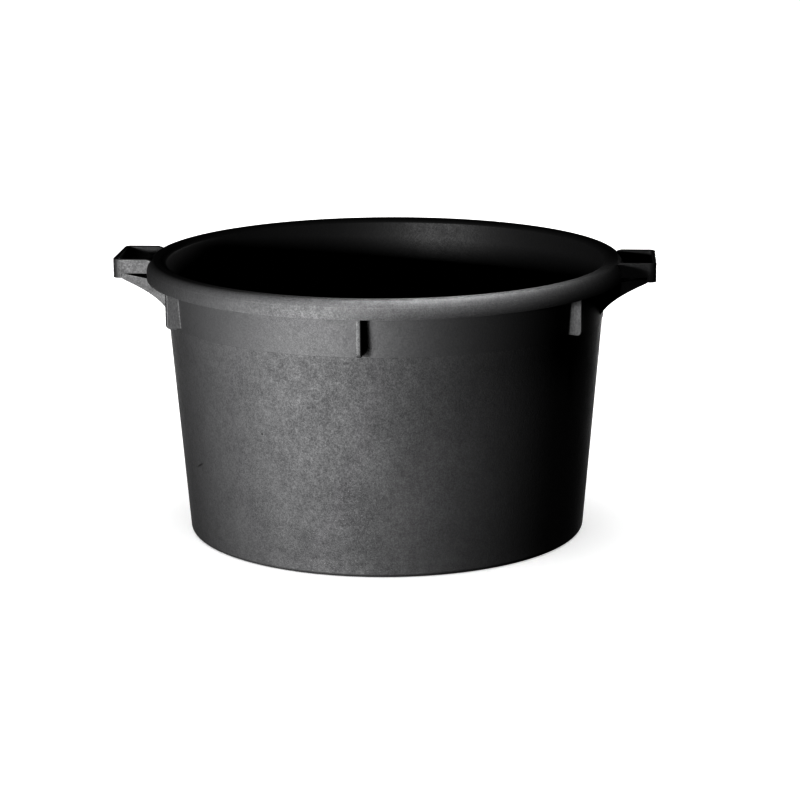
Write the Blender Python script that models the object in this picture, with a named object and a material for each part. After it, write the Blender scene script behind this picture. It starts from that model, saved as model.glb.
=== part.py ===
"""Round mortar mixing tub with two moulded handles, in black polyethylene.

The frame: Z runs up the tub's axis from the middle of its base, X runs through the two handles, and
-Y is the front. The right-hand handle is at +X. Lengths are in metres.

The real tub is a single moulding. Here it is divided along its own feature lines, so that the floor,
heel, wall, shoulder, rim, ribs and the plates of each handle are separate closed solids that meet
face to face across a hairline gap.
"""

import math

import bmesh
import bpy
from mathutils import Vector

# Driving dimensions
HEIGHT = 0.335  # base to the top of the rim
BASE_RADIUS = 0.2429  # the wall's outer face, produced down to the base
WALL_SLOPE = 0.083  # how far the wall leans out for each unit of height
RIM_RADIUS = 0.291  # outer face of the rim
HANDLE_REACH = 0.3287  # axis to the outer face of a handle
HANDLE_WIDTH = 0.0946  # over the cheeks of a handle
HANDLE_TOP = 0.3375  # the handles stand a little above the rim
RIB_TURN = -1.5  # degrees that the ring of ribs is turned from the handles
RIB_NAMES = ("front", "front_right", "rear_right", "rear", "rear_left", "front_left")

# Thicknesses and steps
WALL = 0.0038
FLOOR = 0.0045
LEDGE_HEIGHT = 0.266  # where the shoulder steps out from the wall
LEDGE_STEP = 0.001
FLANGE = 0.004
SKIRT = 0.004
RIB = 0.0055
CHEEK = 0.0045
GUSSET = 0.004
UNDERSIDE = 0.0035
GAP = 0.0003  # hairline between neighbouring solids

# Radii and lesser sizes
HEEL_RADIUS = 0.005  # outer corner between base and wall
HEEL_INNER_RADIUS = 0.008
HEEL_WIDTH = 0.016  # how far the heel runs in under the floor
HEEL_HEIGHT = 0.020
RIM_CORNER = 0.007  # outer top corner of the rim
RIM_INNER_EDGE = 0.003  # edge between the rim's top and the inside
SKIRT_FOOT = 0.314  # lower edge of the rim's skirt
SKIRT_DRAFT = 0.0022  # how far the skirt leans in over its height
SKIRT_EDGE = 0.0015
RIB_REACH = 0.284  # outer edge of a rib
RIB_FOOT = 0.269
RIB_CORNER = 0.006
CHEEK_FOOT = 0.3196
GRIP_FOOT = 0.3143
GRIP_CORNER = 0.006
GRIP_ARM = 0.0107  # how far the grip's ends turn back along the cheeks
GUSSET_SETBACK = 0.0012  # gussets stand behind the faces of the cheeks
SLOT_OUTER_END = 0.3133  # the slot under a cheek narrows to nothing here
SLOT_DROP = 0.24  # fall of the gusset's top edge towards the tub, height over length
SWEEP_START = (0.3239, 0.3162)  # the handle's underside curve, in (x, z)
SWEEP_PULL = (0.2657, 0.2918)
SWEEP_END = (0.2600, 0.2680)
EDGE = 0.0007  # softened edges of ribs and handle plates

SEGMENTS = 72  # around the tub
CORNER_STEPS = 4  # facets on a quarter round
SWEEP_STEPS = 12

BLACK = (0.018, 0.018, 0.019, 1.0)


def wall_radius(height):
    """Outer radius of the leaning wall at a height."""
    return BASE_RADIUS + WALL_SLOPE * height


def arc(centre, radius, start, end, steps=CORNER_STEPS):
    """Points on an arc between two angles in degrees, both ends included."""
    points = []
    for step in range(steps + 1):
        angle = math.radians(start + (end - start) * step / steps)
        points.append((centre[0] + radius * math.cos(angle), centre[1] + radius * math.sin(angle)))
    return points


def polyethylene(name, roughness):
    """Black polyethylene, satin where it is handled and duller where mortar has rubbed it."""
    material = bpy.data.materials.new(name)
    material.use_nodes = True
    shader = material.node_tree.nodes["Principled BSDF"]
    shader.inputs["Base Color"].default_value = BLACK
    shader.inputs["Roughness"].default_value = roughness
    shader.inputs["Metallic"].default_value = 0.0
    material.diffuse_color = BLACK
    return material


def add_object(name, bm, roughness):
    """Turn a finished bmesh into a named object with its own material."""
    bmesh.ops.recalc_face_normals(bm, faces=bm.faces)
    mesh = bpy.data.meshes.new(name)
    bm.to_mesh(mesh)
    bm.free()
    mesh.materials.append(polyethylene(f"{name}_polyethylene", roughness))
    mesh.shade_smooth()
    mesh.set_sharp_from_angle(angle=math.radians(35))
    solid = bpy.data.objects.new(name, mesh)
    bpy.context.scene.collection.objects.link(solid)
    return solid


def turned(name, outline, roughness=0.45, closed=True):
    """A solid of revolution about Z from (radius, height) points; an open outline ends on the axis."""
    bm = bmesh.new()
    verts = [bm.verts.new((radius, 0.0, height)) for radius, height in outline]
    chain = verts + verts[:1] if closed else verts
    edges = [bm.edges.new(pair) for pair in zip(chain, chain[1:])]
    bmesh.ops.spin(
        bm,
        geom=verts + edges,
        cent=Vector((0.0, 0.0, 0.0)),
        axis=Vector((0.0, 0.0, 1.0)),
        angle=math.tau,
        steps=SEGMENTS,
        use_merge=True,
    )
    bmesh.ops.remove_doubles(bm, verts=bm.verts, dist=1e-6)
    return add_object(name, bm, roughness)


def extruded(name, corners, depth, roughness=0.45, edge=EDGE):
    """A prism: a flat outline of 3-D corners pushed along the vector depth, its edges softened."""
    bm = bmesh.new()
    face = bm.faces.new([bm.verts.new(corner) for corner in corners])
    pushed = bmesh.ops.extrude_face_region(bm, geom=[face])
    moved = [item for item in pushed["geom"] if isinstance(item, bmesh.types.BMVert)]
    bmesh.ops.translate(bm, verts=moved, vec=Vector(depth))
    solid = add_object(name, bm, roughness)
    bevel = solid.modifiers.new("soft edges", "BEVEL")
    bevel.width = edge
    bevel.segments = 2
    bevel.limit_method = "ANGLE"
    bevel.angle_limit = math.radians(50)
    return solid


def cut(solid, cutter):
    """Remove the cutter's volume from a solid."""
    boolean = solid.modifiers.new("clear of the tub", "BOOLEAN")
    boolean.operation = "DIFFERENCE"
    boolean.solver = "EXACT"
    boolean.object = cutter


def make_floor():
    """The flat floor, up to the heel."""
    edge = BASE_RADIUS - HEEL_WIDTH - GAP
    turned("tub_floor", [(0.0, 0.0), (edge, 0.0), (edge, FLOOR), (0.0, FLOOR)], 0.5, closed=False)


def make_heel():
    """The rounded corner between the floor and the wall."""
    inner = BASE_RADIUS - HEEL_WIDTH
    outside = arc((wall_radius(HEEL_RADIUS) - HEEL_RADIUS, HEEL_RADIUS), HEEL_RADIUS, -90, 0)
    turn_height = FLOOR + HEEL_INNER_RADIUS
    turn_centre = (wall_radius(turn_height) - WALL - HEEL_INNER_RADIUS, turn_height)
    inside = arc(turn_centre, HEEL_INNER_RADIUS, 0, -90)
    top = [(wall_radius(HEEL_HEIGHT), HEEL_HEIGHT), (wall_radius(HEEL_HEIGHT) - WALL, HEEL_HEIGHT)]
    turned("base_heel", [(inner, 0.0)] + outside + top + inside + [(inner, FLOOR)], 0.5)


def make_wall():
    """The leaning wall from the heel to the ledge."""
    foot = HEEL_HEIGHT + GAP
    head = LEDGE_HEIGHT - GAP
    outside = [(wall_radius(foot), foot), (wall_radius(head), head)]
    inside = [(radius - WALL, height) for radius, height in reversed(outside)]
    turned("tub_wall", outside + inside)


def make_shoulder():
    """The thicker band between the ledge and the rim."""
    foot = LEDGE_HEIGHT
    head = HEIGHT - FLANGE - GAP
    outside = [(wall_radius(foot) + LEDGE_STEP, foot), (wall_radius(head) + LEDGE_STEP, head)]
    inside = [(wall_radius(head) - WALL, head), (wall_radius(foot) - WALL, foot)]
    turned("shoulder_band", outside + inside)


def skirt_lines(grow=0.0):
    """The skirt's lower edge, from its inner face round to its outer face, grown by a clearance."""
    foot = SKIRT_FOOT - grow
    edge = SKIRT_EDGE + grow
    inner = RIM_RADIUS - SKIRT - SKIRT_DRAFT + SKIRT_EDGE
    outer = RIM_RADIUS - SKIRT_DRAFT - SKIRT_EDGE
    inner_turn = arc((inner, foot + edge), edge, 180, 270, 2)
    outer_turn = arc((outer, foot + edge), edge, 270, 360, 2)
    return inner_turn + outer_turn


def make_rim():
    """The flat flange round the mouth and the skirt that hangs from its outer edge."""
    corner = (RIM_RADIUS - RIM_CORNER, HEIGHT - RIM_CORNER)
    mouth = wall_radius(HEIGHT - FLANGE) - WALL
    inner_edge = (mouth + RIM_INNER_EDGE, HEIGHT - RIM_INNER_EDGE)
    flange = arc(inner_edge, RIM_INNER_EDGE, 180, 90, 3)
    flange += arc(corner, RIM_CORNER, 90, 0)
    flange += arc(corner, RIM_CORNER - SKIRT, 0, 90, 3)
    flange.append((mouth, HEIGHT - FLANGE))
    turned("rim_flange", flange, 0.42)

    head = HEIGHT - RIM_CORNER - GAP
    faces = [(RIM_RADIUS, head), (RIM_RADIUS - SKIRT, head)]
    turned("rim_skirt", skirt_lines() + faces, 0.42)


def make_clearance():
    """Guide: the shoulder and the rim grown by the gap, which trims what is joined to them."""
    corner = (RIM_RADIUS - RIM_CORNER, HEIGHT - RIM_CORNER)
    underside = HEIGHT - FLANGE - GAP
    low = LEDGE_HEIGHT - 0.010
    core = 0.240
    outline = [(core, low), (wall_radius(low) + LEDGE_STEP + GAP, low)]
    outline.append((wall_radius(underside) + LEDGE_STEP + GAP, underside))
    outline += arc(corner, RIM_CORNER - SKIRT - GAP, 90, 0, 3)
    outline += skirt_lines(GAP)
    outline += arc(corner, RIM_CORNER + GAP, 0, 90)
    outline.append((core, HEIGHT + GAP))
    guide = turned("clearance_guide", outline)
    guide.hide_render = True
    guide.display_type = "WIRE"
    return guide


def make_ribs():
    """Upright ribs between the shoulder and the skirt, their outer lower corners rounded."""
    head = HEIGHT - FLANGE - GAP
    clear = LEDGE_STEP + GAP
    outline = [(wall_radius(head) + clear, head), (wall_radius(RIB_FOOT) + clear, RIB_FOOT)]
    outline += arc((RIB_REACH - RIB_CORNER, RIB_FOOT + RIB_CORNER), RIB_CORNER, -90, 0)
    outline.append((RIB_REACH, head))
    for index, place in enumerate(RIB_NAMES):
        angle = math.radians(-90.0 + RIB_TURN + index * 360.0 / len(RIB_NAMES))
        out = Vector((math.cos(angle), math.sin(angle), 0.0))
        across = Vector((-out.y, out.x, 0.0))
        corners = [out * radius - across * (RIB / 2) + Vector((0.0, 0.0, z)) for radius, z in outline]
        extruded(f"rib_{place}", corners, across * RIB)


def sweep_point(t):
    """A point of the handle's underside curve, in (x, z), with t from 0 at the grip to 1 at the wall."""
    weights = ((1 - t) ** 2, 2 * t * (1 - t), t**2)
    anchors = (SWEEP_START, SWEEP_PULL, SWEEP_END)
    return tuple(sum(w * anchor[axis] for w, anchor in zip(weights, anchors)) for axis in (0, 1))


def sweep_normal(t):
    """The unit vector, in (x, z), from the underside curve up into the handle."""
    before = Vector(SWEEP_PULL) - Vector(SWEEP_START)
    after = Vector(SWEEP_END) - Vector(SWEEP_PULL)
    along = (before * (1 - t) + after * t).normalized()
    return Vector((along.y, -along.x))


def sweep_parameter(x):
    """Where the underside curve passes a distance x from the tub's axis."""
    low, high = 0.0, 1.0
    for _ in range(40):
        middle = (low + high) / 2
        if sweep_point(middle)[0] > x:
            low = middle
        else:
            high = middle
    return low


def make_grip(name, side):
    """The outer wall of a handle, its ends turned back round the corners."""
    half = HANDLE_WIDTH / 2
    turn_x = HANDLE_REACH - GRIP_CORNER
    turn_y = half - GRIP_CORNER
    arm = HANDLE_REACH - GRIP_ARM
    inner_turn = GRIP_CORNER - CHEEK
    plan = [(arm, -half)]
    plan += arc((turn_x, -turn_y), GRIP_CORNER, -90, 0)
    plan += arc((turn_x, turn_y), GRIP_CORNER, 0, 90)
    plan += [(arm, half), (arm, half - CHEEK)]
    plan += arc((turn_x, turn_y), inner_turn, 90, 0, 2)
    plan += arc((turn_x, -turn_y), inner_turn, 0, -90, 2)
    plan.append((arm, CHEEK - half))
    corners = [(side * x, y, GRIP_FOOT) for x, y in plan]
    extruded(name, corners, (0.0, 0.0, HANDLE_TOP - GRIP_FOOT), 0.42)


def make_cheek(name, side, face, guide):
    """A flat plate from the rim to the grip; face is -1 at the front and 1 at the rear."""
    half = HANDLE_WIDTH / 2
    outer_end = HANDLE_REACH - GRIP_ARM - GAP
    seat = math.sqrt((RIM_RADIUS - 0.6 * SKIRT) ** 2 - half**2)
    lap = math.sqrt((RIM_RADIUS - RIM_CORNER) ** 2 - half**2)
    outline = [
        (seat, CHEEK_FOOT),
        (outer_end, CHEEK_FOOT),
        (outer_end, HANDLE_TOP),
        (lap + CHEEK, HANDLE_TOP),
        (lap, HEIGHT + 2 * GAP),
        (lap, HEIGHT - FLANGE / 2),
        (seat, HEIGHT - RIM_CORNER),
    ]
    corners = [(side * x, face * half, z) for x, z in outline]
    cut(extruded(name, corners, (0.0, -face * CHEEK, 0.0), 0.42), guide)


def make_gusset(name, side, face, guide):
    """A web under a cheek; its lower edge sweeps down to the ledge and its top leaves a slot."""
    outer_end = HANDLE_REACH - GRIP_ARM - GAP
    head = CHEEK_FOOT - GAP
    channel = RIM_RADIUS - SKIRT - SKIRT_DRAFT - GAP
    start = sweep_parameter(outer_end)
    lower = [sweep_point(start + (1 - start) * step / SWEEP_STEPS) for step in range(SWEEP_STEPS + 1)]
    slot_foot = head - SLOT_DROP * (SLOT_OUTER_END - channel)
    upper = [
        (SWEEP_END[0], HEIGHT - FLANGE - GAP),
        (channel, HEIGHT - FLANGE - GAP),
        (channel, slot_foot),
        (SLOT_OUTER_END, head),
        (outer_end, head),
    ]
    y = face * (HANDLE_WIDTH / 2 - GUSSET_SETBACK)
    corners = [(side * x, y, z) for x, z in lower + upper]
    cut(extruded(name, corners, (0.0, -face * GUSSET, 0.0), 0.45), guide)


def make_underside(name, side, guide):
    """The curved sheet that closes the handle between its gussets."""
    half = HANDLE_WIDTH / 2 - GUSSET_SETBACK - GUSSET - GAP
    steps = [step / SWEEP_STEPS for step in range(SWEEP_STEPS + 1)]
    lower = [Vector(sweep_point(t)) for t in steps]
    upper = [Vector(sweep_point(t)) + sweep_normal(t) * UNDERSIDE for t in steps]
    upper[0].x = lower[0].x
    corners = [(side * x, -half, z) for x, z in lower + upper[::-1]]
    cut(extruded(name, corners, (0.0, 2 * half, 0.0), 0.45), guide)


def make_handles(guide):
    """Both handles: grip, two cheeks, two gussets and the underside of each."""
    for hand, side in (("left", -1), ("right", 1)):
        make_grip(f"{hand}_handle_grip", side)
        for place, face in (("front", -1), ("rear", 1)):
            make_cheek(f"{hand}_handle_{place}_cheek", side, face, guide)
            make_gusset(f"{hand}_handle_{place}_gusset", side, face, guide)
        make_underside(f"{hand}_handle_underside", side, guide)


def main():
    for existing in list(bpy.data.objects):
        bpy.data.objects.remove(existing, do_unlink=True)
    make_floor()
    make_heel()
    make_wall()
    make_shoulder()
    make_rim()
    make_ribs()
    make_handles(make_clearance())


main()
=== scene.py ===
"""Looks of the round mortar mixing tub: smooth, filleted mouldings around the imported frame.

Every piece stands for one node of the frame and takes its place from it. Lengths are in metres; Z runs up
the tub's axis, -Y is the front and the handles lie on X. The real tub is one moulding, so neighbouring
pieces meet or overlap a little where the frame has hairlines. The sheet under each handle doesn't: it stops
0.3 mm short of the grip, as in the frame, and leaves small gaps at the grip's two inner corners.
"""

import math

import bmesh
import bpy
from mathutils import Matrix, Vector


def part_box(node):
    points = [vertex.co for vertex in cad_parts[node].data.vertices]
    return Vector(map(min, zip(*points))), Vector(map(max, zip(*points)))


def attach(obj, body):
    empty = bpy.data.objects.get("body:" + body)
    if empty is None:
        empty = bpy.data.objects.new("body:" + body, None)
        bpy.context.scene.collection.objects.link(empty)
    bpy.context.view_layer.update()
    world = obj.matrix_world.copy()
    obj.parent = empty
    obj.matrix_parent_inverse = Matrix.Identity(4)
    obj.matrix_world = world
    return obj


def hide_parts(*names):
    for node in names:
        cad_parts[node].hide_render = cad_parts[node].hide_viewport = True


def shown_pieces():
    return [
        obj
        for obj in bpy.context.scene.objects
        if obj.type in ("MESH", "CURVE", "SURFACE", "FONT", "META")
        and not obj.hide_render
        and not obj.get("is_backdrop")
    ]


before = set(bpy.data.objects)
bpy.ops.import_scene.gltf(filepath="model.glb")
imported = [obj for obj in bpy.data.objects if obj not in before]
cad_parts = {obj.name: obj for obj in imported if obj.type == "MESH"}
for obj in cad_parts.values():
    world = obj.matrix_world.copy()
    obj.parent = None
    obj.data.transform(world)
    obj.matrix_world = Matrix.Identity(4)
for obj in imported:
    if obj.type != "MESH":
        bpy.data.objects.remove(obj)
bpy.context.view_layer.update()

# Driving sizes, read from the frame
_, HEEL_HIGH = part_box("base_heel")
_, WALL_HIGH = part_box("tub_wall")
SHOULDER_LOW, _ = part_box("shoulder_band")
_, FLANGE_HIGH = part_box("rim_flange")
SKIRT_LOW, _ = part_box("rim_skirt")
_, FLOOR_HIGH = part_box("tub_floor")
RIB_LOW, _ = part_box("rib_front")
GRIP_LOW, GRIP_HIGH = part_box("right_handle_grip")
CHEEK_LOW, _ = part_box("right_handle_front_cheek")

HEIGHT = FLANGE_HIGH.z
RIM_RADIUS = FLANGE_HIGH.x
WALL_SLOPE = (WALL_HIGH.x - HEEL_HIGH.x) / (WALL_HIGH.z - HEEL_HIGH.z)
BASE_RADIUS = HEEL_HIGH.x - WALL_SLOPE * HEEL_HIGH.z
LEDGE = SHOULDER_LOW.z
HEEL_TOP = HEEL_HIGH.z
SKIRT_FOOT = SKIRT_LOW.z
RIB_FOOT = RIB_LOW.z
HANDLE_REACH = GRIP_HIGH.x
HANDLE_TOP = GRIP_HIGH.z
GRIP_FOOT = GRIP_LOW.z
HALF_WIDTH = GRIP_HIGH.y
CHEEK_FOOT = CHEEK_LOW.z
FLOOR_TOP = FLOOR_HIGH.z

# Moulded sizes, the same as in the frame but for those with a comment
WALL = 0.0038
LEDGE_STEP = 0.001
FLANGE = 0.004
SKIRT = 0.004
SKIRT_DRAFT = 0.0022
RIM_CORNER = 0.007
RIM_CREST = 0.3365  # the rolled rim rises a little above the flange of the frame
LIP_WIDTH = 0.009  # rounding of the rim into the bowl
ROLL_WIDTH = 0.0095  # from the crest of the rolled rim out to its widest line
ROLL_MIDDLE = 0.3190  # height of the widest line of the rolled rim
HEEL_RADIUS = 0.005
HEEL_INNER_RADIUS = 0.008
FLOOR_EDGE = BASE_RADIUS - 0.016
RIB = 0.0055
RIB_REACH = 0.284
RIB_CORNER = 0.006
RIB_TURN = -1.5
RIB_PLACES = ("front", "front_right", "rear_right", "rear", "rear_left", "front_left")
CHEEK = 0.0045
GUSSET = 0.004
GUSSET_SETBACK = 0.0012
UNDERSIDE = 0.0035
GRIP_CORNER = 0.008  # rounder than the frame's 6 mm
GRIP_ARM = HANDLE_REACH - 0.0107
SLOT_OUTER_END = 0.3133
SLOT_DROP = 0.24
SWEEP_START = (0.3239, 0.3162)
SWEEP_PULL = (0.2657, 0.2918)
SWEEP_END = (0.2600, 0.2680)

SEGMENTS = 288  # around the tub
SUNK = 0.0012  # how far a rib runs into the band and the rim
CREASE = 40.0  # degrees; edges that bend more are shaded sharp

# Two knocks in the wall, left of the front
GOUGE_MIDDLE = (-0.2129, -0.1333, 0.1033)
GOUGE_END = (-0.2070, -0.1435, 0.1085)
GOUGE_HALF_WIDTH = 0.0016
NICK_MIDDLE = (-0.1261, -0.2235, 0.1653)
NICK_END = (-0.1246, -0.2244, 0.1648)
NICK_HALF_WIDTH = 0.0017

# Colours and gloss of the plastic
TONE = 0.028
# lighter colour of sharp convex edges: rubbed plastic, and partly a painted highlight
RUBBED_AND_HIGHLIGHT_COLOUR = (0.045, 0.045, 0.045, 1.0)
SCUFF_COLOUR = (0.05, 0.05, 0.048, 1.0)
SCAR_COLOUR = (0.004, 0.004, 0.004, 1.0)
INNER_ROUGHNESS = 0.57  # of the smoother faces inside the bowl


def wall_radius(height):
    """Outer radius of the leaning wall at a height."""
    return BASE_RADIUS + WALL_SLOPE * height


def shoulder_radius(height):
    """Outer radius of the band above the ledge."""
    return wall_radius(height) + LEDGE_STEP


def arc(centre, radius, start, end, steps):
    """Points on an arc between two angles in degrees, both ends included."""
    points = []
    for step in range(steps + 1):
        angle = math.radians(start + (end - start) * step / steps)
        points.append((centre[0] + radius * math.cos(angle), centre[1] + radius * math.sin(angle)))
    return points


# Materials


def node(tree, kind, location, **values):
    """A shader node with its settings."""
    made = tree.nodes.new(kind)
    made.location = location
    for key, value in values.items():
        setattr(made, key, value)
    return made


def noise(tree, vector, scale, detail, location, roughness=0.55):
    made = node(tree, "ShaderNodeTexNoise", location)
    made.inputs["Scale"].default_value = scale
    made.inputs["Detail"].default_value = detail
    made.inputs["Roughness"].default_value = roughness
    tree.links.new(vector, made.inputs["Vector"])
    return made.outputs["Fac"]


def remap(tree, value, low, high, to_low, to_high, location):
    made = node(tree, "ShaderNodeMapRange", location)
    tree.links.new(value, made.inputs["Value"])
    made.inputs["From Min"].default_value = low
    made.inputs["From Max"].default_value = high
    made.inputs["To Min"].default_value = to_low
    made.inputs["To Max"].default_value = to_high
    return made.outputs["Result"]


def maths(tree, operation, first, second, location):
    made = node(tree, "ShaderNodeMath", location, operation=operation)
    for socket, value in zip(made.inputs, (first, second)):
        if isinstance(value, (int, float)):
            socket.default_value = value
        else:
            tree.links.new(value, socket)
    return made.outputs[0]


def blend(tree, amount, first, second, location):
    """Colour going from the first to the second as the amount goes from 0 to 1; first may be an output."""
    made = node(tree, "ShaderNodeMix", location, data_type="RGBA")
    amount_in, first_in, second_in = made.inputs[0], made.inputs[6], made.inputs[7]
    tree.links.new(amount, amount_in)
    if isinstance(first, tuple):
        first_in.default_value = first
    else:
        tree.links.new(first, first_in)
    second_in.default_value = second
    return made.outputs[2]


def inner_gloss(tree, outside, inside):
    """Roughness that is lower on faces turned to the tub's axis, which the polished core moulded."""
    geometry = node(tree, "ShaderNodeNewGeometry", (-1500, -1100))
    place = node(tree, "ShaderNodeTexCoord", (-1500, -1300))
    level = node(tree, "ShaderNodeVectorMath", (-1320, -1300), operation="MULTIPLY")
    tree.links.new(place.outputs["Object"], level.inputs[0])
    level.inputs[1].default_value = (1.0, 1.0, 0.0)
    outward = node(tree, "ShaderNodeVectorMath", (-1140, -1300), operation="NORMALIZE")
    tree.links.new(level.outputs["Vector"], outward.inputs[0])
    facing = node(tree, "ShaderNodeVectorMath", (-960, -1200), operation="DOT_PRODUCT")
    tree.links.new(outward.outputs["Vector"], facing.inputs[0])
    tree.links.new(geometry.outputs["Normal"], facing.inputs[1])
    return remap(tree, facing.outputs["Value"], -0.8, -0.3, inside, outside, (-780, -1200))


def scar(tree, centre, end, half_width, location):
    """Mask of a shallow nick in the plastic, 1 in its middle, from its centre to one of its ends."""
    along = Vector(end) - Vector(centre)
    place = node(tree, "ShaderNodeTexCoord", (location[0] - 540, location[1]))
    local = node(tree, "ShaderNodeMapping", (location[0] - 360, location[1]), vector_type="TEXTURE")
    local.inputs["Location"].default_value = centre
    local.inputs["Rotation"].default_value = along.to_track_quat("X", "Z").to_euler()
    local.inputs["Scale"].default_value = (along.length, half_width, half_width)
    tree.links.new(place.outputs["Object"], local.inputs["Vector"])
    away = node(tree, "ShaderNodeVectorMath", (location[0] - 180, location[1]), operation="LENGTH")
    tree.links.new(local.outputs["Vector"], away.inputs[0])
    return remap(tree, away.outputs["Value"], 0.35, 1.0, 1.0, 0.0, location)


def polyethylene(name, roughness, grain, mottle, seed, rubbed_and_highlight=0.5):
    """Black moulded polyethylene: cloudy flow marks, a fine eroded grain, rubbed edges that also carry a
    painted highlight, and light scuffs.
    """
    material = bpy.data.materials.new(name)
    material.use_nodes = True
    material.diffuse_color = (TONE, TONE, TONE, 1.0)
    tree = material.node_tree
    shader = tree.nodes["Principled BSDF"]
    shader.inputs["Metallic"].default_value = 0.0
    shader.inputs["IOR"].default_value = 1.5
    place = node(tree, "ShaderNodeTexCoord", (-1500, 0)).outputs["Object"]
    shift = node(tree, "ShaderNodeMapping", (-1320, 0))
    shift.inputs["Location"].default_value = (seed * 1.7, seed * 0.9, seed * 0.4)
    tree.links.new(place, shift.inputs["Vector"])
    place = shift.outputs["Vector"]

    cloud = noise(tree, place, 22.0, 3.0, (-1100, 300))
    patch = noise(tree, place, 95.0, 3.0, (-1100, 100))
    speck = noise(tree, place, 310.0, 1.5, (-1100, -100), 0.6)
    fleck = noise(tree, place, 640.0, 0.0, (-1100, -300))
    slow = maths(tree, "ADD", cloud, patch, (-900, 200))
    slow = remap(tree, slow, 0.7, 1.3, -mottle, mottle, (-720, 200))
    fine = maths(tree, "ADD", speck, fleck, (-900, -200))
    fine = remap(tree, fine, 0.65, 1.35, -grain, grain, (-720, -200))
    both = maths(tree, "ADD", slow, fine, (-540, 0))

    # Rubbed edges, and a painted highlight along sharp convex edges, from the curvature stored with each
    # mesh
    wear_and_highlight = node(tree, "ShaderNodeAttribute", (-1100, -520), attribute_name="edge_wear_and_highlight")
    patchy = remap(tree, patch, 0.35, 0.65, 0.35, 1.0, (-900, -520))
    edge = maths(tree, "MULTIPLY", wear_and_highlight.outputs["Fac"], patchy, (-720, -520))

    # Long thin scuffs, where things have slid along the plastic
    stretch = node(tree, "ShaderNodeMapping", (-1320, -760))
    stretch.inputs["Scale"].default_value = (1.0, 1.0, 9.0)
    stretch.inputs["Rotation"].default_value = (0.5, 0.9, 0.2)
    tree.links.new(place, stretch.inputs["Vector"])
    streak = noise(tree, stretch.outputs["Vector"], 60.0, 4.0, (-1100, -760), 0.7)
    scuff = remap(tree, streak, 0.68, 0.74, 0.0, 1.0, (-900, -760))

    dark = (TONE * 0.6, TONE * 0.6, TONE * 0.62, 1.0)
    light = (TONE * 1.5, TONE * 1.5, TONE * 1.52, 1.0)
    cloudy = remap(tree, both, -0.5, 0.5, 0.0, 1.0, (-540, 260))
    colour = blend(tree, cloudy, dark, light, (-360, 200))
    rub_and_highlight = maths(tree, "MULTIPLY", edge, rubbed_and_highlight, (-360, -60))
    # sharp convex edges painted lighter: rubbed wear and a painted highlight
    colour = blend(tree, rub_and_highlight, colour, RUBBED_AND_HIGHLIGHT_COLOUR, (-180, 200))
    scratch = maths(tree, "MULTIPLY", scuff, 0.35, (-360, -240))
    colour = blend(tree, scratch, colour, SCUFF_COLOUR, (0, 200))
    scars = maths(
        tree,
        "MAXIMUM",
        scar(tree, GOUGE_MIDDLE, GOUGE_END, GOUGE_HALF_WIDTH, (0, 700)),
        scar(tree, NICK_MIDDLE, NICK_END, NICK_HALF_WIDTH, (0, 1000)),
        (180, 800),
    )
    shaded = maths(tree, "MULTIPLY", scars, 0.9, (360, 800))
    colour = blend(tree, shaded, colour, SCAR_COLOUR, (180, 200))
    tree.links.new(colour, shader.inputs["Base Color"])

    rough = maths(tree, "MULTIPLY", both, -0.28, (-360, -400))
    rough = maths(tree, "ADD", rough, inner_gloss(tree, roughness, INNER_ROUGHNESS), (-180, -400))
    polish = maths(tree, "MULTIPLY", edge, -0.06, (-360, -560))
    rough = maths(tree, "ADD", rough, polish, (0, -400))
    tree.links.new(rough, shader.inputs["Roughness"])

    bump = node(tree, "ShaderNodeBump", (0, -700))
    bump.inputs["Strength"].default_value = 0.5
    bump.inputs["Distance"].default_value = 0.0005
    height = maths(tree, "ADD", both, maths(tree, "MULTIPLY", scuff, -0.25, (-360, -760)), (-180, -700))
    height = maths(tree, "SUBTRACT", height, scars, (0, -560))
    tree.links.new(height, bump.inputs["Height"])
    tree.links.new(bump.outputs["Normal"], shader.inputs["Normal"])
    return material


WALL_LOOK = polyethylene("wall_polyethylene", 0.84, 0.23, 0.14, 0.0)
BAND_LOOK = polyethylene("band_polyethylene", 0.76, 0.12, 0.06, 0.0, rubbed_and_highlight=0.1)
BASE_LOOK = polyethylene("base_polyethylene", 0.80, 0.24, 0.16, 0.0)
RIM_LOOK = polyethylene("rim_polyethylene", 0.76, 0.18, 0.10, 0.0)
RIB_LOOK = polyethylene("rib_polyethylene", 0.70, 0.20, 0.10, 0.3)
HANDLE_LOOK = polyethylene("handle_polyethylene", 0.66, 0.20, 0.12, 0.6)


# Meshes


def store_wear_and_highlight(mesh):
    """Keep how sharply convex each vertex lies, which the materials paint lighter as rubbed edges and as a
    painted highlight.
    """
    bm = bmesh.new()
    bm.from_mesh(mesh)
    values = [0.0] * len(bm.verts)
    for edge in bm.edges:
        if len(edge.link_faces) != 2:
            continue
        one, two = edge.link_faces
        if not edge.is_convex:
            continue
        across = (two.calc_center_median() - one.calc_center_median()).length
        bend = edge.calc_face_angle(0.0) / max(across, 1e-5)
        for vert in edge.verts:
            values[vert.index] = max(values[vert.index], bend)
    bm.free()
    wear = mesh.attributes.new("edge_wear_and_highlight", "FLOAT", "POINT")
    wear.data.foreach_set("value", [min(1.0, value / 700.0) for value in values])


def settle(bm, name, stands_for, material):
    """Make the finished bmesh a piece that stands for one node of the frame."""
    bmesh.ops.remove_doubles(bm, verts=bm.verts, dist=1e-7)
    bmesh.ops.recalc_face_normals(bm, faces=bm.faces)
    mesh = bpy.data.meshes.new(name)
    bm.to_mesh(mesh)
    bm.free()
    mesh.shade_smooth()
    mesh.set_sharp_from_angle(angle=math.radians(CREASE))
    store_wear_and_highlight(mesh)
    mesh.materials.append(material)
    piece = bpy.data.objects.new(name, mesh)
    bpy.context.scene.collection.objects.link(piece)
    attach(piece, "root")
    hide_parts(stands_for)
    return piece


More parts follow.
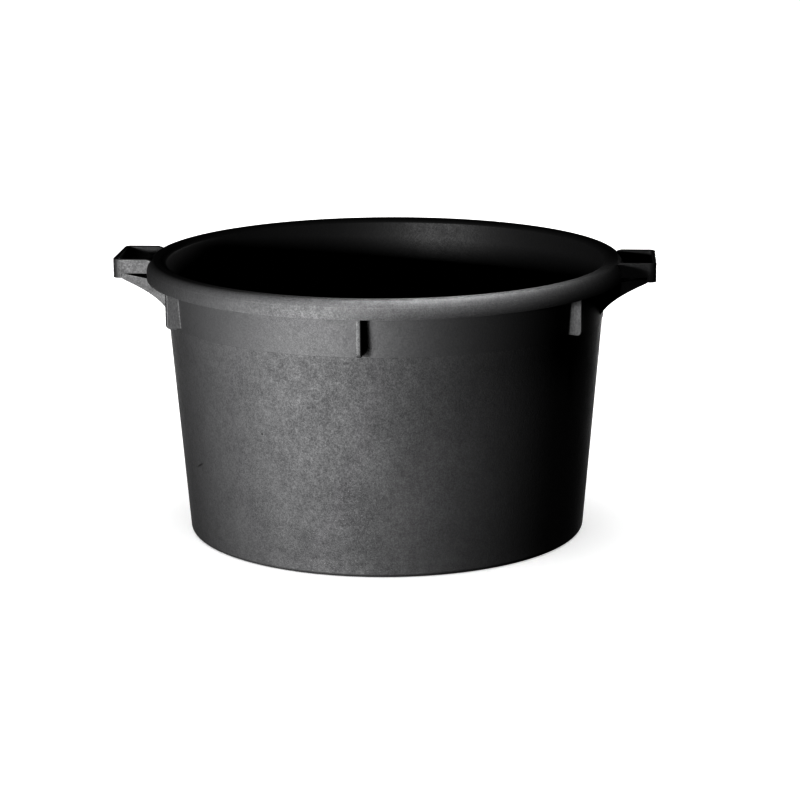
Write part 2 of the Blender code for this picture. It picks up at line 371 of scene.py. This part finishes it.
def lathe(name, stands_for, outline, material):
    """A turned piece from a closed (radius, height) outline; points on the axis become poles."""
    bm = bmesh.new()
    rings = []
    for radius, height in outline:
        if radius < 1e-6:
            rings.append([bm.verts.new((0.0, 0.0, height))] * SEGMENTS)
            continue
        ring = []
        for step in range(SEGMENTS):
            angle = math.tau * step / SEGMENTS
            ring.append(bm.verts.new((radius * math.cos(angle), radius * math.sin(angle), height)))
        rings.append(ring)
    for index, ring in enumerate(rings):
        following = rings[(index + 1) % len(rings)]
        if ring[0] is ring[1] and following[0] is following[1]:
            continue
        for step in range(SEGMENTS):
            after = (step + 1) % SEGMENTS
            corners = []
            for vert in (ring[step], ring[after], following[after], following[step]):
                if vert not in corners:
                    corners.append(vert)
            bm.faces.new(corners)
    return settle(bm, name, stands_for, material)


def make_floor():
    """Floor with a slightly recessed underside, standing on its outer ring, and the mark of the gate."""
    recess = 0.0009
    dimple = recess + 0.0006
    gate = 0.0032
    foot_ring = 0.2110
    outline = [(0.0, 0.0002), (gate, 0.0002), (gate + 0.0010, dimple), (0.0095, dimple)]
    outline += [(0.0125, recess), (foot_ring - 0.0030, recess), (foot_ring - 0.0008, 0.0003)]
    outline += [(foot_ring, 0.0), (FLOOR_EDGE, 0.0)]
    outline += [(FLOOR_EDGE, FLOOR_TOP), (0.0, FLOOR_TOP)]
    lathe("floor_moulding", "tub_floor", outline, BASE_LOOK)


def make_heel():
    outside = arc((wall_radius(HEEL_RADIUS) - HEEL_RADIUS, HEEL_RADIUS), HEEL_RADIUS, -90, 4, 16)
    turn_height = FLOOR_TOP + HEEL_INNER_RADIUS
    turn_centre = (wall_radius(turn_height) - WALL - HEEL_INNER_RADIUS, turn_height)
    inside = arc(turn_centre, HEEL_INNER_RADIUS, 0, -90, 16)
    top = [(wall_radius(HEEL_TOP), HEEL_TOP), (wall_radius(HEEL_TOP) - WALL, HEEL_TOP)]
    outline = [(FLOOR_EDGE, 0.0)] + outside + top + inside + [(FLOOR_EDGE, FLOOR_TOP)]
    lathe("heel_moulding", "base_heel", outline, BASE_LOOK)


def make_wall():
    """The leaning wall, in bands so that its grain and shading stay even."""
    levels = [HEEL_TOP + (LEDGE - HEEL_TOP) * step / 12 for step in range(13)]
    outside = [(wall_radius(level), level) for level in levels]
    inside = [(wall_radius(level) - WALL, level) for level in reversed(levels)]
    lathe("wall_moulding", "tub_wall", outside + inside, WALL_LOOK)


def make_shoulder():
    """The band above the ledge: rounded at its foot, filleted into the rim at its head."""
    head = HEIGHT - FLANGE
    turn = LEDGE_STEP * 0.45
    foot = (shoulder_radius(LEDGE + turn) - turn, LEDGE + turn)
    fillet = 0.0025
    outline = [(wall_radius(LEDGE) - WALL, LEDGE)] + arc(foot, turn, -90, 0, 6)
    outline += [(shoulder_radius(level), level) for level in (0.285, 0.305)]
    bend = (shoulder_radius(head - fillet) + fillet, head - fillet)
    outline += arc(bend, fillet, 180, 90, 6)
    outline += [(wall_radius(level) - WALL, level) for level in (head, 0.305, 0.285)]
    lathe("shoulder_moulding", "shoulder_band", outline, BAND_LOOK)


def rim_outside(start, end, steps):
    """Points down the rolled outer face of the rim, between two angles in degrees from its widest line."""
    points = []
    for step in range(steps + 1):
        angle = math.radians(start + (end - start) * step / steps)
        radius = RIM_RADIUS - ROLL_WIDTH + ROLL_WIDTH * math.cos(angle)
        points.append((radius, ROLL_MIDDLE + (RIM_CREST - ROLL_MIDDLE) * math.sin(angle)))
    return points


def make_rim():
    joint = HEIGHT - RIM_CORNER
    turn = math.degrees(math.asin((joint - ROLL_MIDDLE) / (RIM_CREST - ROLL_MIDDLE)))
    mouth = wall_radius(HEIGHT - FLANGE) - WALL
    inner_face = RIM_RADIUS - SKIRT - 0.0012
    inner_corner = 0.0035
    under = HEIGHT - FLANGE
    outline = []
    for step in range(17):
        angle = math.radians(180.0 - 90.0 * step / 16)
        radius = mouth + LIP_WIDTH * (1 + math.cos(angle))
        outline.append((radius, under + (RIM_CREST - under) * math.sin(angle)))
    outline += rim_outside(90.0, turn, 24)
    outline += arc((inner_face - inner_corner, under - inner_corner), inner_corner, 0, 90, 8)
    lathe("flange_moulding", "rim_flange", outline, RIM_LOOK)

    edge = 0.0014
    low = rim_outside(turn, -15.0, 16)
    foot_outer = low[-1][0] - 0.0002
    low_inner = RIM_RADIUS - SKIRT - SKIRT_DRAFT
    outline = [(inner_face, joint), (low_inner, SKIRT_FOOT + edge)]
    outline += arc((low_inner + edge, SKIRT_FOOT + edge), edge, 180, 270, 6)[1:]
    outline += arc((foot_outer - edge, SKIRT_FOOT + edge), edge, 270, 350, 6)
    outline += reversed(low)
    lathe("skirt_moulding", "rim_skirt", outline, RIM_LOOK)


def lofted(bm, rings):
    """Join closed rings of vertices one to the next, and cap both ends."""
    made = [[bm.verts.new(point) for point in ring] for ring in rings]
    for ring, following in zip(made, made[1:]):
        count = len(ring)
        for index in range(count):
            after = (index + 1) % count
            bm.faces.new((ring[index], ring[after], following[after], following[index]))
    bm.faces.new(made[0])
    bm.faces.new(made[-1])


def rib_ring(height):
    """The rib's outline at a height as (out, across) points: flared foot, flat flanks, rounded nose."""
    flare = 0.0016
    nose = 0.0013
    foot_edge = 0.0010
    half = RIB / 2
    surface = shoulder_radius(height)
    reach = RIB_REACH
    low = RIB_FOOT + RIB_CORNER
    if height < low:
        reach -= RIB_CORNER - math.sqrt(max(0.0, RIB_CORNER**2 - (low - height) ** 2))
    tuck = max(0.0, foot_edge - (height - RIB_FOOT))
    tuck = foot_edge - math.sqrt(max(0.0, foot_edge**2 - tuck**2))
    half -= tuck
    reach -= tuck
    right = [(surface - SUNK, -(half + flare))]
    for out, across in arc((0.0, 0.0), flare, 180, 90, 5):
        right.append((surface + flare + out, -(half + flare) + across))
    right += arc((reach - nose, nose - half), nose, -90, 0, 5)
    return right + [(out, -across) for out, across in reversed(right)]


def make_ribs():
    steps = (0.0, 0.0001, 0.0003, 0.0006, 0.001, 0.0016, 0.0024, 0.0034, 0.0046, 0.006)
    levels = [RIB_FOOT + step for step in steps]
    levels += [0.285, 0.300, 0.3155, HEIGHT - FLANGE + SUNK]
    for index, place in enumerate(RIB_PLACES):
        angle = math.radians(-90.0 + RIB_TURN + index * 360.0 / len(RIB_PLACES))
        out = Vector((math.cos(angle), math.sin(angle), 0.0))
        side = Vector((-out.y, out.x, 0.0))
        rings = []
        for level in levels:
            ring = rib_ring(level)
            rings.append([out * radius + side * across + Vector((0, 0, level)) for radius, across in ring])
        bm = bmesh.new()
        lofted(bm, rings)
        settle(bm, f"rib_{place}_moulding", f"rib_{place}", RIB_LOOK)


def bevel_edges(bm, test, width, steps):
    """Round the edges whose two end points pass a test."""
    chosen = [edge for edge in bm.edges if test(edge.verts[0].co, edge.verts[1].co)]
    bmesh.ops.bevel(
        bm,
        geom=chosen,
        offset=width,
        segments=steps,
        profile=0.5,
        affect="EDGES",
        offset_type="OFFSET",
        clamp_overlap=True,
    )


def near(value, target):
    return abs(value - target) < 2e-5


def sweep_point(t):
    """A point of the handle's underside curve, in (x, z), from the grip at 0 to the wall at 1."""
    weights = ((1 - t) ** 2, 2 * t * (1 - t), t**2)
    anchors = (SWEEP_START, SWEEP_PULL, SWEEP_END)
    return Vector([sum(w * anchor[axis] for w, anchor in zip(weights, anchors)) for axis in (0, 1)])


def sweep_normal(t):
    """The unit vector, in (x, z), from the underside curve up into the handle."""
    before = Vector(SWEEP_PULL) - Vector(SWEEP_START)
    after = Vector(SWEEP_END) - Vector(SWEEP_PULL)
    along = (before * (1 - t) + after * t).normalized()
    return Vector((along.y, -along.x))


def sweep_parameter(x):
    """Where the underside curve passes a distance x from the axis."""
    low, high = 0.0, 1.0
    for _ in range(40):
        middle = (low + high) / 2
        if sweep_point(middle).x > x:
            low = middle
        else:
            high = middle
    return low


def held_in_wall(x, y, z):
    """Keep a point of a handle plate from passing through the wall into the bowl."""
    inside = shoulder_radius(z) - 0.0025
    return max(x, math.sqrt(inside**2 - y**2))


def make_grip(name, stands_for, side):
    """Outer wall of a handle: rounded lips above, a broad rounded corner below."""
    turn_x = HANDLE_REACH - GRIP_CORNER
    turn_y = HALF_WIDTH - GRIP_CORNER
    inner_turn = GRIP_CORNER - CHEEK
    plan = [(GRIP_ARM, -HALF_WIDTH)]
    plan += arc((turn_x, -turn_y), GRIP_CORNER, -90, 0, 12)
    plan += arc((turn_x, turn_y), GRIP_CORNER, 0, 90, 12)
    plan += [(GRIP_ARM, HALF_WIDTH), (GRIP_ARM, HALF_WIDTH - CHEEK)]
    plan += arc((turn_x, turn_y), inner_turn, 90, 0, 6)
    plan += arc((turn_x, -turn_y), inner_turn, 0, -90, 6)
    plan.append((GRIP_ARM, CHEEK - HALF_WIDTH))
    bm = bmesh.new()
    lofted(bm, [[(side * x, y, z) for x, y in plan] for z in (GRIP_FOOT, HANDLE_TOP)])

    def outer(point):
        from_corner = math.hypot(max(0.0, abs(point.x) - turn_x), max(0.0, abs(point.y) - turn_y))
        return from_corner > GRIP_CORNER - 0.0003

    def at_arm(a, b):
        return near(abs(a.x), GRIP_ARM) and near(abs(b.x), GRIP_ARM)

    def lower(a, b):
        return near(a.z, GRIP_FOOT) and near(b.z, GRIP_FOOT) and outer(a) and outer(b)

    def upper(a, b):
        return near(a.z, HANDLE_TOP) and near(b.z, HANDLE_TOP) and not at_arm(a, b)

    bevel_edges(bm, lower, 0.0036, 8)
    bevel_edges(bm, upper, 0.0013, 4)
    return settle(bm, name, stands_for, HANDLE_LOOK)


def make_cheek(name, stands_for, side, face):
    """Side plate of a handle, from the rim to the grip; face is -1 at the front and 1 at the rear."""
    seat = math.sqrt((RIM_RADIUS - 0.6 * SKIRT) ** 2 - HALF_WIDTH**2)
    lap = math.sqrt((RIM_RADIUS - RIM_CORNER) ** 2 - HALF_WIDTH**2)
    toe = HEIGHT - 0.0002
    outline = [
        (seat, CHEEK_FOOT),
        (GRIP_ARM, CHEEK_FOOT),
        (GRIP_ARM, HANDLE_TOP),
        (lap + 0.0075, HANDLE_TOP),
        (lap + 0.0050, HANDLE_TOP - 0.0005),
        (lap + 0.0025, HANDLE_TOP - 0.0016),
        (lap, toe),
        (lap, HEIGHT - FLANGE / 2),
        (seat, HEIGHT - RIM_CORNER),
    ]
    bm = bmesh.new()
    rings = [[(side * x, face * y, z) for x, z in outline] for y in (HALF_WIDTH, HALF_WIDTH - CHEEK)]
    lofted(bm, rings)

    def upper(a, b):
        return near(a.y, b.y) and min(a.z, b.z) > HEIGHT - 0.001

    def lower(a, b):
        return near(a.z, CHEEK_FOOT) and near(b.z, CHEEK_FOOT) and near(abs(a.y + b.y) / 2, HALF_WIDTH)

    bevel_edges(bm, upper, 0.0013, 4)
    bevel_edges(bm, lower, 0.0008, 3)
    return settle(bm, name, stands_for, HANDLE_LOOK)


def make_gusset(name, stands_for, side, face):
    """Web under a cheek: swept lower edge, and a slot left under the cheek."""
    channel = 0.2845
    start = sweep_parameter(GRIP_ARM)
    steps = 28
    lower = [sweep_point(start + (1 - start) * step / steps) for step in range(steps + 1)]
    slot_foot = CHEEK_FOOT - SLOT_DROP * (SLOT_OUTER_END - channel)
    head = HEIGHT - FLANGE + 0.001
    upper = [(0.26, head), (channel, head), (channel, slot_foot)]
    upper += [(SLOT_OUTER_END, CHEEK_FOOT), (GRIP_ARM, CHEEK_FOOT)]
    rise = [(0.26, SWEEP_END[1] + (head - SWEEP_END[1]) * step / 6) for step in range(1, 6)]
    outline = [(point[0], point[1]) for point in lower] + rise + upper
    faces = (HALF_WIDTH - GUSSET_SETBACK, HALF_WIDTH - GUSSET_SETBACK - GUSSET)
    rings = []
    for y in faces:
        rings.append([(side * held_in_wall(x, y, z), face * y, z) for x, z in outline])
    bm = bmesh.new()
    lofted(bm, rings)
    outer = faces[0]

    def on_sweep(point):
        t = sweep_parameter(abs(point.x))
        return abs(sweep_point(t).y - point.z) < 1e-4

    def lower_edge(a, b):
        flat = near(abs(a.y), outer) and near(abs(b.y), outer)
        return flat and on_sweep(a) and on_sweep(b) and max(a.z, b.z) < CHEEK_FOOT - 0.001

    def slot_edge(a, b):
        if not (near(abs(a.y), outer) and near(abs(b.y), outer)):
            return False
        return {round(abs(a.x), 5), round(abs(b.x), 5)} == {round(channel, 5), round(SLOT_OUTER_END, 5)}

    bevel_edges(bm, slot_edge, 0.0006, 3)
    bevel_edges(bm, lower_edge, 0.0009, 4)
    return settle(bm, name, stands_for, HANDLE_LOOK)


def make_underside(name, stands_for, side):
    """Curved sheet under a handle, between its gussets, up to a hairline from the grip."""
    half = HALF_WIDTH - GUSSET_SETBACK - GUSSET
    steps = [step / 28 for step in range(29)]
    lower = [sweep_point(t) for t in steps]
    upper = [sweep_point(t) + sweep_normal(t) * UNDERSIDE for t in steps]
    upper[0].x = lower[0].x
    rings = []
    for column in range(9):
        y = -half + 2 * half * column / 8
        rings.append([(side * held_in_wall(x, y, z), y, z) for x, z in lower + upper[::-1]])
    bm = bmesh.new()
    lofted(bm, rings)
    return settle(bm, name, stands_for, HANDLE_LOOK)


def make_handles():
    for hand, side in (("left", -1), ("right", 1)):
        make_grip(f"{hand}_grip_moulding", f"{hand}_handle_grip", side)
        for place, face in (("front", -1), ("rear", 1)):
            stem = f"{hand}_{place}"
            node_stem = f"{hand}_handle_{place}"
            make_cheek(f"{stem}_cheek_moulding", f"{node_stem}_cheek", side, face)
            make_gusset(f"{stem}_gusset_moulding", f"{node_stem}_gusset", side, face)
        make_underside(f"{hand}_underside_moulding", f"{hand}_handle_underside", side)


# Camera, floor and light

VIEW_AZIMUTH = 4.77  # degrees round from the front, to the right
VIEW_ELEVATION = 12.94
VIEW_DISTANCE = 3.290
VIEW_ROLL = -0.39
VIEW_TARGET = Vector((0.0, 0.0, 0.1759))
LENS = 119.93


def make_camera():
    azimuth = math.radians(VIEW_AZIMUTH)
    elevation = math.radians(VIEW_ELEVATION)
    back = Vector((
        math.sin(azimuth) * math.cos(elevation),
        -math.cos(azimuth) * math.cos(elevation),
        math.sin(elevation),
    ))
    data = bpy.data.cameras.new("camera")
    data.lens = LENS
    data.sensor_width = 36.0
    data.shift_x = 0.0172
    data.shift_y = -0.0191
    data.clip_end = 200.0
    camera = bpy.data.objects.new("camera", data)
    turn = (-back).to_track_quat("-Z", "Y").to_matrix().to_4x4()
    roll = Matrix.Rotation(math.radians(VIEW_ROLL), 4, "Z")
    camera.matrix_world = Matrix.Translation(VIEW_TARGET + back * VIEW_DISTANCE) @ turn @ roll
    bpy.context.scene.collection.objects.link(camera)
    bpy.context.scene.camera = camera


def make_floor_and_world():
    """A plain pale floor; the dark plastic doesn't pick it up, as against a distant backdrop."""
    bm = bmesh.new()
    bmesh.ops.create_grid(bm, x_segments=4, y_segments=4, size=40.0)
    mesh = bpy.data.meshes.new("studio_floor")
    bm.to_mesh(mesh)
    bm.free()
    floor = bpy.data.objects.new("studio_floor", mesh)
    floor.location.z = -0.0002
    bpy.context.scene.collection.objects.link(floor)
    material = bpy.data.materials.new("pale_floor")
    material.use_nodes = True
    shader = material.node_tree.nodes["Principled BSDF"]
    shader.inputs["Base Color"].default_value = (0.86, 0.86, 0.86, 1.0)
    shader.inputs["Roughness"].default_value = 0.9
    shader.inputs["Specular IOR Level"].default_value = 0.0
    mesh.materials.append(material)
    floor.visible_diffuse = False
    floor.visible_glossy = False
    floor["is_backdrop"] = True

    world = bpy.data.worlds.new("studio")
    world.use_nodes = True
    background = world.node_tree.nodes["Background"]
    background.inputs["Color"].default_value = (1.0, 1.0, 1.0, 1.0)
    background.inputs["Strength"].default_value = 0.003
    bpy.context.scene.world = world
    return floor


def softbox(name, place, aim, size, watts, lit):
    """A rectangular soft light that reaches only the objects of one collection."""
    data = bpy.data.lights.new(name, "AREA")
    data.shape = "RECTANGLE"
    data.size, data.size_y = size
    data.energy = watts
    light = bpy.data.objects.new(name, data)
    light.location = place
    light.rotation_mode = "QUATERNION"
    light.rotation_quaternion = (Vector(aim) - Vector(place)).to_track_quat("-Z", "Y")
    light.visible_camera = False
    light.light_linking.receiver_collection = lit
    bpy.context.scene.collection.objects.link(light)
    return light


def around(azimuth, distance, height):
    """A point at an azimuth from the camera's own, positive to the right of it."""
    angle = math.radians(VIEW_AZIMUTH + azimuth)
    return Vector((math.sin(angle) * distance, -math.cos(angle) * distance, height))


def make_lights(floor):
    """Light for the tub and light for the floor, apart.

    Every light of the tub shares one collection: with a second one, for the rim alone, repeated renders
    of the same scene didn't always agree.
    """
    tub = bpy.data.collections.new("lit_tub")
    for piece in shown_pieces():
        tub.objects.link(piece)
    ground = bpy.data.collections.new("lit_floor")
    ground.objects.link(floor)

    softbox("key", around(-25.5, 0.74, 0.15), (0.0, 0.0, 0.13), (0.19, 0.30), 14.5, tub)
    softbox("graze", around(-31.0, 1.5, 0.430), (0.0, 0.0, 0.30), (0.16, 0.07), 54.0, tub)
    # Straight down in a narrow cone, so that it reaches the rim's front but not the bowl's rear wall
    overhead = softbox("rim_light", Vector((0.19, -0.35, 0.90)), (0.19, -0.35, 0.0), (0.40, 0.12), 5.9, tub)
    overhead.data.spread = math.radians(62.0)
    # For the views from behind and from the right
    softbox("back_fill", around(180.0, 1.6, 0.10), (0.0, 0.0, 0.2), (2.2, 0.4), 150.0, tub)
    softbox("side_fill", around(143.0, 1.6, 0.30), (0.0, 0.0, 0.2), (0.5, 0.4), 16.0, tub)

    # Most of the floor's light ignores the tub, which leaves only a faint shadow where it stands
    bare = bpy.data.collections.new("shadowless")
    bare.objects.link(floor)
    for name, energy, blockers in (("floor_sky", 0.8, None), ("floor_fill", 3.8, bare)):
        sky = bpy.data.lights.new(name, "SUN")
        sky.energy = energy
        sky.angle = math.radians(120.0)
        light = bpy.data.objects.new(name, sky)
        light.location = (0.0, 0.0, 5.0)
        light.light_linking.receiver_collection = ground
        light.light_linking.blocker_collection = blockers
        bpy.context.scene.collection.objects.link(light)


make_floor()
make_heel()
make_wall()
make_shoulder()
make_rim()
make_ribs()
make_handles()
make_camera()
make_lights(make_floor_and_world())

view_settings = bpy.context.scene.view_settings
view_settings.view_transform = "Standard"
view_settings.look = "None"
view_settings.gamma = 0.5
